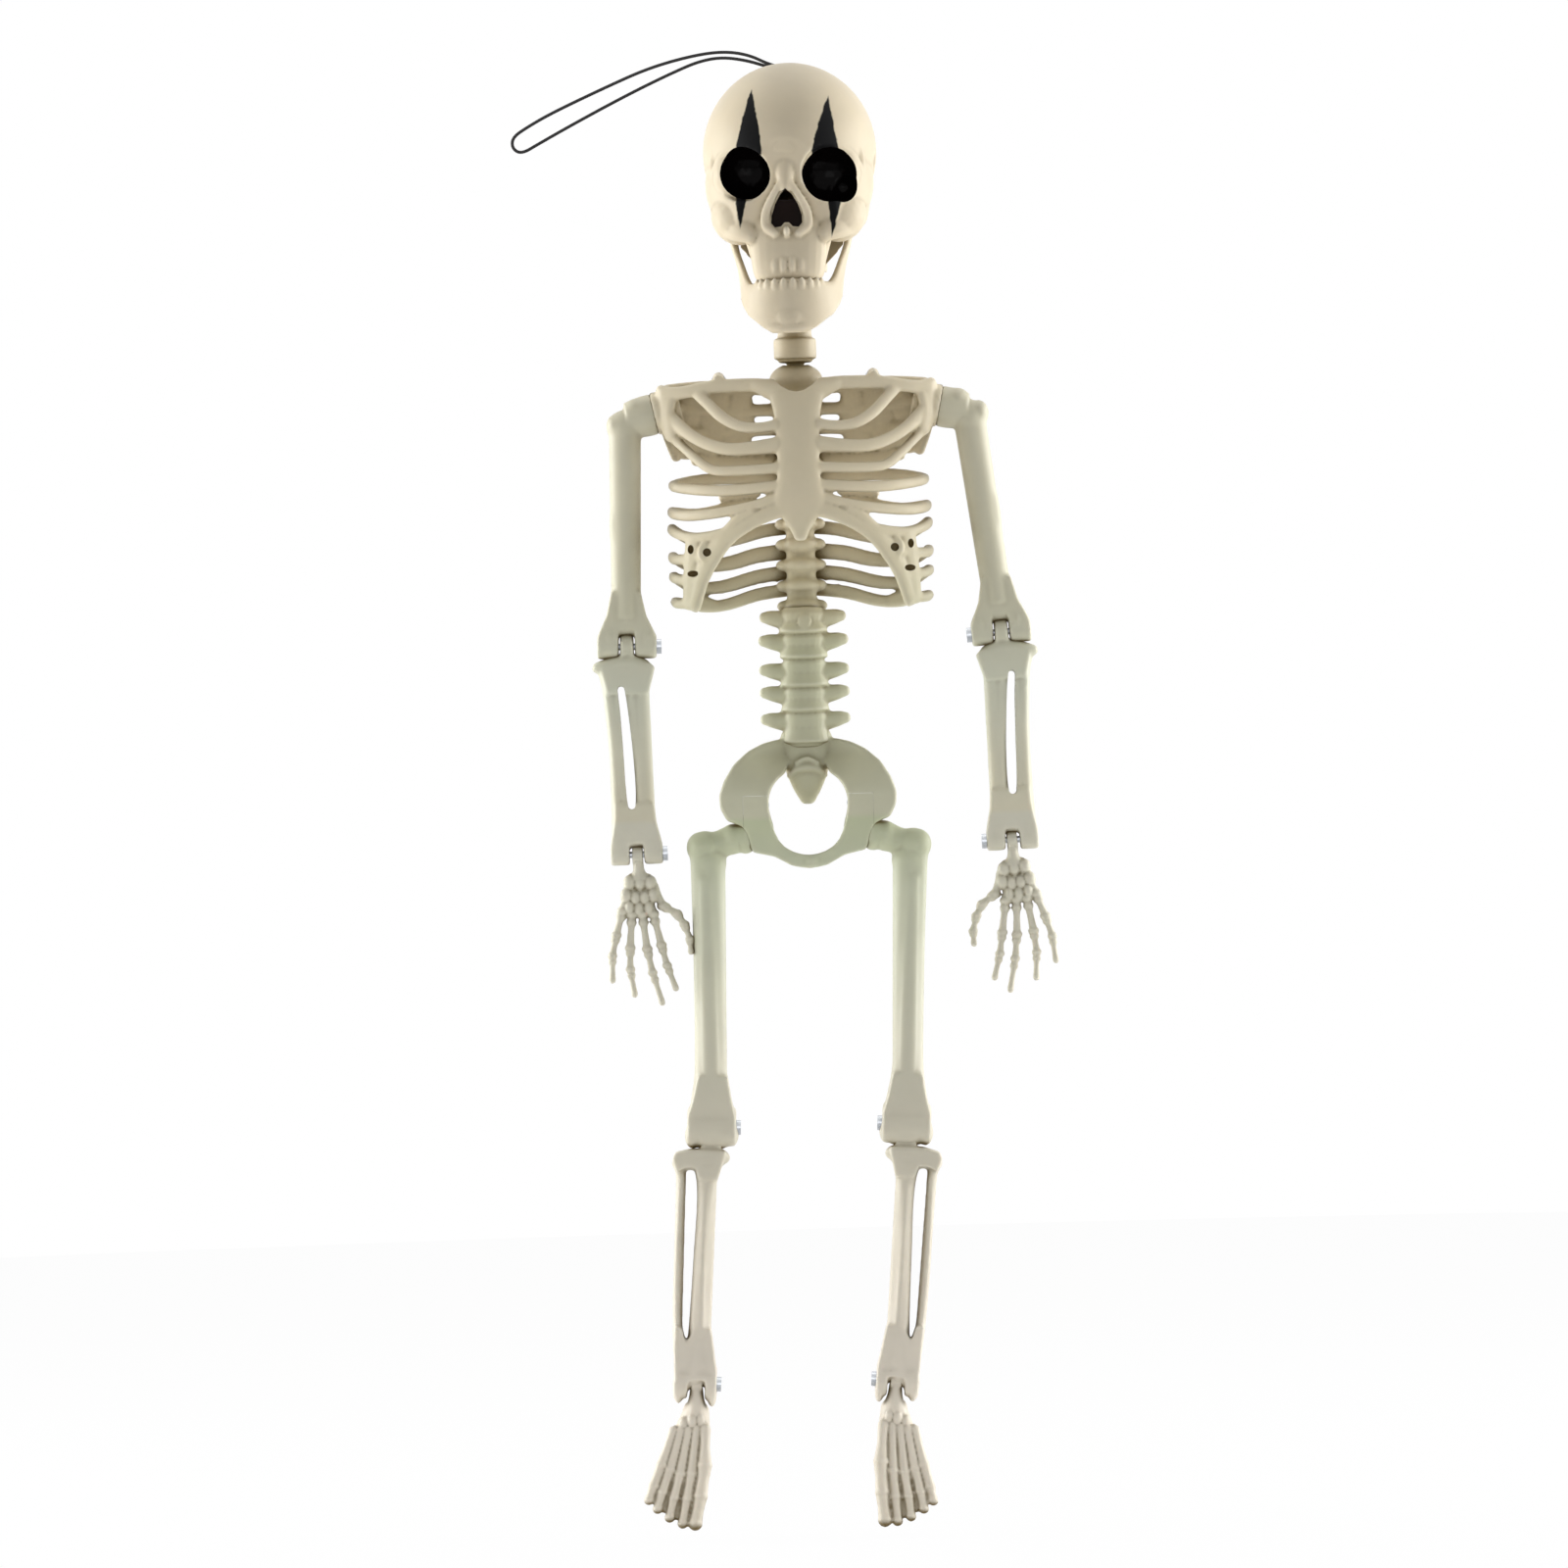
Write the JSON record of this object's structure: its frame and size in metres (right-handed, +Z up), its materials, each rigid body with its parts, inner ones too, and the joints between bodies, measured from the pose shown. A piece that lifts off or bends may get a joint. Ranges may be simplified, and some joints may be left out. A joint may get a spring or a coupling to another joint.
{
  "type": "halloween skeleton figure",
  "caption": "Small hanging halloween skeleton of cream plastic with a hinged jaw, a nodding and turning neck, a turning waist and bendable limbs, hung by a black elastic loop at the crown.",
  "frame": {"origin": "centre of the crown hole that the hanging cord comes out of", "axes": "+Z up from the feet to the crown, -Y the way the face looks, +X the figure's own left"},
  "size_m": [0.1441, 0.055, 0.4013],
  "materials": {
    "skull_plastic": "soft gloss",
    "bone_plastic": "satin",
    "screw_steel": "zinc plated",
    "cord_black": "woven elastic"
  },
  "bodies": {
    "head": {"skull_face": "skull_plastic", "skull_back": "skull_plastic", "skull_screws": "screw_steel", "hanging_cord": "cord_black", "cord_knot": "cord_black"},
    "jaw": {"jaw": "bone_plastic"},
    "neck": {"neck_post": "bone_plastic"},
    "chest": {"ribcage_front": "bone_plastic", "ribcage_back": "bone_plastic", "ribcage_screws": "screw_steel"},
    "pelvis": {"lumbar_spine": "bone_plastic", "pelvis_front": "bone_plastic", "pelvis_back": "bone_plastic", "pelvis_screws": "screw_steel"},
    "upper_arm_right": {"humerus_right": "bone_plastic", "elbow_screw_right": "screw_steel"},
    "forearm_right": {"forearm_right": "bone_plastic", "wrist_screw_right": "screw_steel"},
    "hand_right": {"hand_right": "bone_plastic"},
    "thigh_right": {"femur_right": "bone_plastic", "knee_screw_right": "screw_steel"},
    "shin_right": {"shin_right": "bone_plastic", "ankle_screw_right": "screw_steel"},
    "foot_right": {"foot_right": "bone_plastic"},
    "upper_arm_left": {"humerus_left": "bone_plastic", "elbow_screw_left": "screw_steel"},
    "forearm_left": {"forearm_left": "bone_plastic", "wrist_screw_left": "screw_steel"},
    "hand_left": {"hand_left": "bone_plastic"},
    "thigh_left": {"femur_left": "bone_plastic", "knee_screw_left": "screw_steel"},
    "shin_left": {"shin_left": "bone_plastic", "ankle_screw_left": "screw_steel"},
    "foot_left": {"foot_left": "bone_plastic"}
  },
  "joints": [
    {"name": "jaw_open", "type": "hinge", "parent": "head", "child": "jaw", "pos_m": [-0.00079, -0.01298, -0.0438], "axis": [0.9981, -0.061, 0], "range_deg": [0, 16]},
    {"name": "neck_nod", "type": "hinge", "parent": "head", "child": "neck", "pos_m": [-0.00061, -0.00998, -0.0518], "axis": [0.9981, -0.061, 0], "range_deg": [-12, 15]},
    {"name": "neck_turn", "type": "hinge", "parent": "neck", "child": "chest", "pos_m": [-0.00061, -0.00998, -0.0808], "axis": [0, 0, 1], "range_deg": [-60, 60]},
    {"name": "waist_turn", "type": "hinge", "parent": "chest", "child": "pelvis", "pos_m": [-0.00061, 0.00002, -0.1472], "axis": [0, 0, 1], "range_deg": [-45, 45]},
    {"name": "shoulder_right", "type": "hinge", "parent": "chest", "child": "upper_arm_right", "pos_m": [-0.03911, -0.00998, -0.0933], "axis": [-0.977, 0, -0.213], "continuous": true},
    {"name": "elbow_right", "type": "hinge", "parent": "upper_arm_right", "child": "forearm_right", "pos_m": [-0.04867, -0.00998, -0.15648], "axis": [-1, 0, 0.0087], "range_deg": [-95, 95]},
    {"name": "wrist_right", "type": "hinge", "parent": "forearm_right", "child": "hand_right", "pos_m": [-0.04758, -0.00998, -0.21307], "axis": [-0.9998, 0, -0.0192], "range_deg": [-85, 85]},
    {"name": "hip_right", "type": "hinge", "parent": "pelvis", "child": "thigh_right", "pos_m": [-0.01681, -0.00998, -0.209], "axis": [-0.9681, 0, -0.2504], "range_deg": [-45, 95]},
    {"name": "knee_right", "type": "hinge", "parent": "thigh_right", "child": "shin_right", "pos_m": [-0.02942, -0.00998, -0.2877], "axis": [0.9986, 0, -0.0523], "range_deg": [0, 100]},
    {"name": "ankle_right", "type": "hinge", "parent": "shin_right", "child": "foot_right", "pos_m": [-0.0355, -0.00998, -0.35723], "axis": [0.9962, 0, -0.0872], "range_deg": [-45, 25]},
    {"name": "shoulder_left", "type": "hinge", "parent": "chest", "child": "upper_arm_left", "pos_m": [0.03789, -0.00998, -0.0933], "axis": [-0.977, 0, 0.213], "continuous": true},
    {"name": "elbow_left", "type": "hinge", "parent": "upper_arm_left", "child": "forearm_left", "pos_m": [0.05324, -0.00998, -0.15533], "axis": [-0.9976, 0, -0.0698], "range_deg": [-95, 95]},
    {"name": "wrist_left", "type": "hinge", "parent": "forearm_left", "child": "hand_left", "pos_m": [0.05472, -0.00998, -0.21191], "axis": [-0.9997, 0, -0.0262], "range_deg": [-85, 85]},
    {"name": "hip_left", "type": "hinge", "parent": "pelvis", "child": "thigh_left", "pos_m": [0.01559, -0.00998, -0.209], "axis": [-0.9681, 0, 0.2504], "range_deg": [-45, 95]},
    {"name": "knee_left", "type": "hinge", "parent": "thigh_left", "child": "shin_left", "pos_m": [0.02364, -0.00998, -0.28829], "axis": [0.9986, 0, -0.0523], "range_deg": [0, 100]},
    {"name": "ankle_left", "type": "hinge", "parent": "shin_left", "child": "foot_left", "pos_m": [0.01878, -0.00998, -0.35792], "axis": [0.9976, 0, -0.0698], "range_deg": [-45, 25]}
  ]
}
